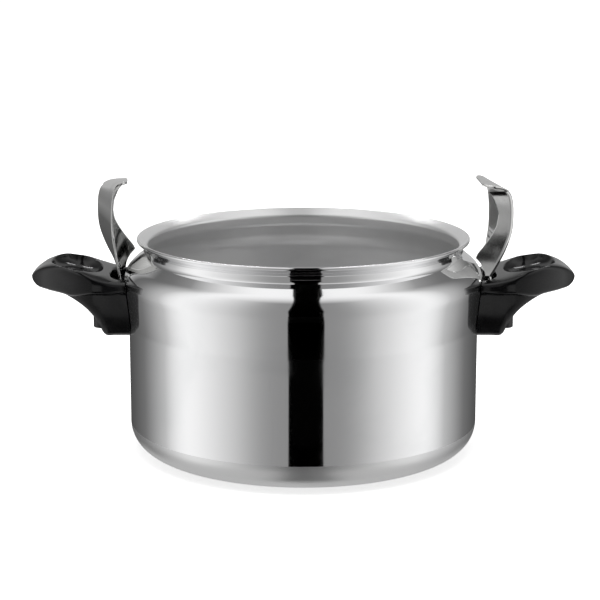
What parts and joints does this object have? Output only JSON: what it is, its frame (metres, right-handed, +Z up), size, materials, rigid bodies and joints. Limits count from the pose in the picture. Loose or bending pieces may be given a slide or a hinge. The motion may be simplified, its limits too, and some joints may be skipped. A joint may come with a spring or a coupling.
{
  "type": "stovetop pressure cooker pot",
  "caption": "Aluminium pressure cooker pot with a waisted neck, black side handles and hinged steel lid latches, shown without its lid",
  "frame": {"origin": "centre of the underside of the base", "axes": "+Z up the pot's axis, +X towards the right handle, -Y towards the front"},
  "size_m": [0.3426, 0.2258, 0.1709],
  "materials": {
    "pot_aluminium": "drawn aluminium, mirror polished outside, satin inside and under the base",
    "handle_bakelite": "glossy black thermoset moulding",
    "latch_steel": "polished stainless steel strip",
    "fixing_steel": "zinc-plated steel",
    "rivet_aluminium": "plain set aluminium"
  },
  "bodies": {
    "root": {"pot_body": "pot_aluminium", "right_handle": "handle_bakelite", "right_bracket": "fixing_steel", "right_rivet_front": "rivet_aluminium", "right_rivet_back": "rivet_aluminium", "right_hinge_pin": "fixing_steel", "right_pin_ring_front": "fixing_steel", "right_pin_ring_back": "fixing_steel", "right_handle_screw": "fixing_steel", "right_screw_washer": "fixing_steel", "right_handle_nut": "fixing_steel", "left_handle": "handle_bakelite", "left_bracket": "fixing_steel", "left_rivet_front": "rivet_aluminium", "left_rivet_back": "rivet_aluminium", "left_hinge_pin": "fixing_steel", "left_pin_ring_front": "fixing_steel", "left_pin_ring_back": "fixing_steel", "left_handle_screw": "fixing_steel", "left_screw_washer": "fixing_steel", "left_handle_nut": "fixing_steel"},
    "right_latch": {"right_latch": "latch_steel"},
    "left_latch": {"left_latch": "latch_steel"}
  },
  "joints": [
    {"name": "right_latch_hinge", "type": "hinge", "parent": "root", "child": "right_latch", "pos_m": [0.1172, 0, 0.101], "axis": [0, -1, 0], "range_deg": [0, 8]},
    {"name": "left_latch_hinge", "type": "hinge", "parent": "root", "child": "left_latch", "pos_m": [-0.1172, 0, 0.101], "axis": [0, 1, 0], "range_deg": [0, 8]}
  ]
}
